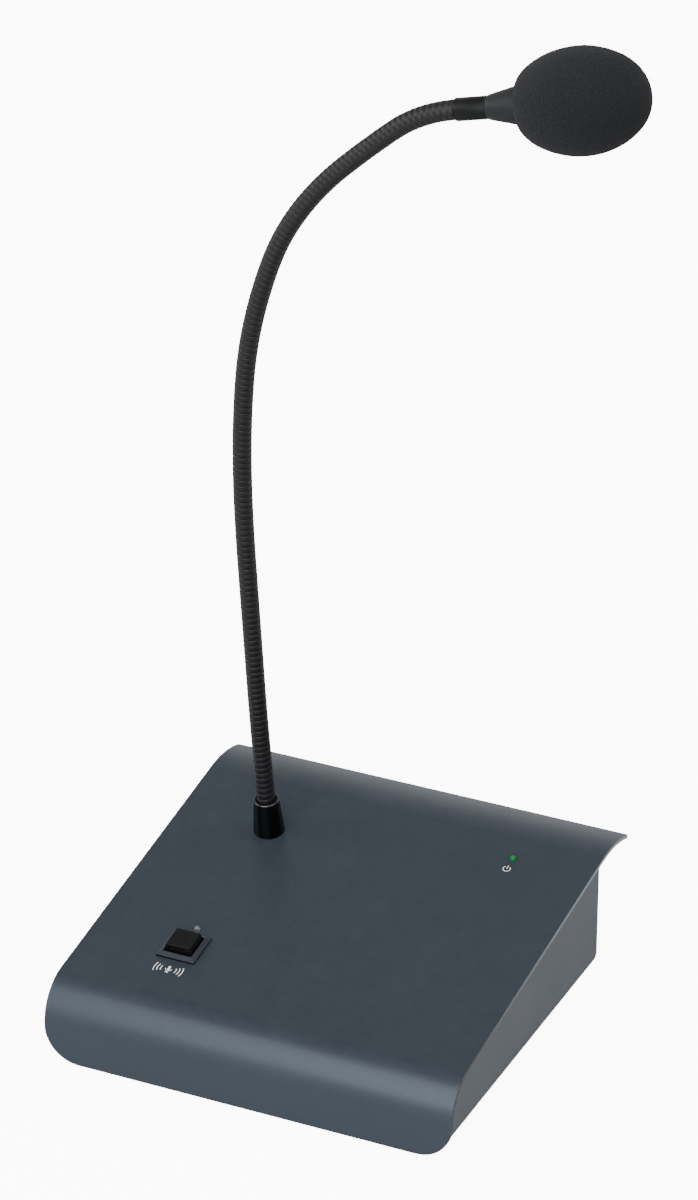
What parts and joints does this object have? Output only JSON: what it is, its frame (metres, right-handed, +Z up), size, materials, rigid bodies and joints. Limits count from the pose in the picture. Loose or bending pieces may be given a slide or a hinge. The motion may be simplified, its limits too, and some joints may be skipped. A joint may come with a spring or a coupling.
{
  "type": "paging microphone",
  "caption": "Desk paging microphone: sloping folded metal base with rounded nose and rear eave, square talk button, lamps, and a foam-covered microphone on a bendable gooseneck.",
  "frame": {"origin": "middle of the base's 200 by 200 mm footprint, on the table", "axes": "+X to the right seen from the front, +Y to the rear, +Z up"},
  "size_m": [0.2509, 0.2, 0.5017],
  "materials": {
    "base_paint": "satin",
    "plated_steel": "satin",
    "plated_brass": "satin",
    "foot_rubber": "matte",
    "socket_black": "gloss",
    "neck_black": "matte",
    "sleeve_dark": "satin",
    "collar_grey": "satin",
    "barrel_alloy": "satin",
    "foam": "matte",
    "switch_black": "satin",
    "plunger_white": "satin",
    "lamp_clear": "gloss",
    "lamp_green": "gloss",
    "board_green": "satin",
    "capacitor_blue": "gloss",
    "socket_plastic": "gloss",
    "lead_black": "matte"
  },
  "bodies": {
    "base": {"top_cover": "base_paint", "chassis": "base_paint", "base_plate": "plated_steel", "cover_studs": "plated_steel", "cover_nuts": "plated_steel", "base_screws": "plated_steel", "rubber_feet": "foot_rubber", "foot_screws": "plated_steel", "foot_nuts": "plated_steel", "neck_socket": "socket_black", "neck_ferrule": "plated_brass", "neck_washer": "plated_steel", "neck_lock_nut": "plated_steel", "neck_root": "neck_black", "switch_bezel": "switch_black", "switch_clip": "plated_steel", "switch_body": "switch_black", "switch_terminals": "plated_brass", "switch_spring": "plated_steel", "talk_lamp": "lamp_clear", "talk_lamp_holder": "switch_black", "power_lamp": "lamp_green", "power_lamp_holder": "switch_black", "main_board": "board_green", "board_standoffs": "plated_brass", "board_screws": "plated_steel", "board_chips": "switch_black", "board_capacitors": "capacitor_blue", "board_headers": "plunger_white", "line_socket": "socket_plastic", "line_contacts": "plated_brass", "mic_lead": "lead_black", "switch_lead": "lead_black", "lamp_leads": "lead_black"},
    "button": {"button_cap": "switch_black", "button_plunger": "plunger_white"},
    "neck_1": {"neck_link_1": "neck_black"},
    "neck_2": {"neck_link_2": "neck_black"},
    "neck_3": {"neck_link_3": "neck_black"},
    "neck_4": {"neck_link_4": "neck_black"},
    "neck_5": {"neck_link_5": "neck_black"},
    "neck_6": {"neck_link_6": "neck_black"},
    "neck_7": {"neck_link_7": "neck_black"},
    "neck_8": {"neck_link_8": "neck_black"},
    "neck_9": {"neck_link_9": "neck_black"},
    "neck_10": {"neck_link_10": "neck_black"},
    "neck_11": {"neck_link_11": "neck_black"},
    "neck_12": {"neck_link_12": "neck_black", "neck_sleeve": "sleeve_dark", "capsule_collar": "collar_grey", "capsule_barrel": "barrel_alloy", "capsule_grille": "plated_steel", "mic_capsule": "barrel_alloy", "capsule_seal": "foot_rubber", "windscreen": "foam"}
  },
  "joints": [
    {"name": "button_press", "type": "slide", "parent": "base", "child": "button", "axis": [0, 0.1616, -0.9869], "range_m": [0, 0.0025], "stiffness_N_per_m": 800, "springref_m": -0.0015, "deforming": ["switch_spring"]},
    {"name": "lower_bend", "type": "hinge", "parent": "base", "child": "neck_1", "pos_m": [-0.0535, 0.0285, 0.10901], "axis": [0, 0.9869, 0.1616], "range_deg": [-15, 15]},
    {"name": "lower_sway", "type": "hinge", "parent": "neck_1", "child": "neck_2", "pos_m": [-0.05321, 0.02307, 0.14222], "axis": [0.9998, 0.0028, -0.0172], "range_deg": [-15, 15]},
    {"name": "lower_bend_2", "type": "hinge", "parent": "neck_2", "child": "neck_3", "pos_m": [-0.05262, 0.01763, 0.17542], "axis": [0, 0.9869, 0.1616], "range_deg": [-15, 15]},
    {"name": "lower_sway_2", "type": "hinge", "parent": "neck_3", "child": "neck_4", "pos_m": [-0.05203, 0.01219, 0.20863], "axis": [0.9998, 0.0028, -0.0172], "range_deg": [-15, 15]},
    {"name": "lower_bend_3", "type": "hinge", "parent": "neck_4", "child": "neck_5", "pos_m": [-0.051, 0.00676, 0.24182], "axis": [0, 0.9869, 0.1616], "range_deg": [-15, 15]},
    {"name": "lower_sway_3", "type": "hinge", "parent": "neck_5", "child": "neck_6", "pos_m": [-0.04874, 0.00133, 0.27495], "axis": [0.9959, 0.0146, -0.0894], "range_deg": [-15, 15]},
    {"name": "upper_bend", "type": "hinge", "parent": "neck_6", "child": "neck_7", "pos_m": [-0.04473, -0.00407, 0.30791], "axis": [0, 0.9869, 0.1616], "range_deg": [-15, 15]},
    {"name": "upper_sway", "type": "hinge", "parent": "neck_7", "child": "neck_8", "pos_m": [-0.03768, -0.00938, 0.34036], "axis": [0.9627, 0.0437, -0.267], "range_deg": [-15, 15]},
    {"name": "upper_bend_2", "type": "hinge", "parent": "neck_8", "child": "neck_9", "pos_m": [-0.02682, -0.01452, 0.37177], "axis": [0, 0.9869, 0.1616], "range_deg": [-15, 15]},
    {"name": "upper_sway_2", "type": "hinge", "parent": "neck_9", "child": "neck_10", "pos_m": [-0.01082, -0.0193, 0.40091], "axis": [0.8202, 0.0925, -0.5646], "range_deg": [-15, 15]},
    {"name": "upper_bend_3", "type": "hinge", "parent": "neck_10", "child": "neck_11", "pos_m": [0.01091, -0.02344, 0.4262], "axis": [0, 0.9869, 0.1616], "range_deg": [-15, 15]},
    {"name": "upper_sway_3", "type": "hinge", "parent": "neck_11", "child": "neck_12", "pos_m": [0.03566, -0.02712, 0.44869], "axis": [0.6561, 0.122, -0.7448], "range_deg": [-15, 15]}
  ],
  "couplings": [
    {"joint": "lower_bend_2", "follows": "lower_bend", "ratio": 1},
    {"joint": "lower_sway_2", "follows": "lower_sway", "ratio": 1},
    {"joint": "lower_bend_3", "follows": "lower_bend", "ratio": 1},
    {"joint": "lower_sway_3", "follows": "lower_sway", "ratio": 1},
    {"joint": "upper_bend_2", "follows": "upper_bend", "ratio": 1},
    {"joint": "upper_sway_2", "follows": "upper_sway", "ratio": 1},
    {"joint": "upper_bend_3", "follows": "upper_bend", "ratio": 1},
    {"joint": "upper_sway_3", "follows": "upper_sway", "ratio": 1}
  ]
}
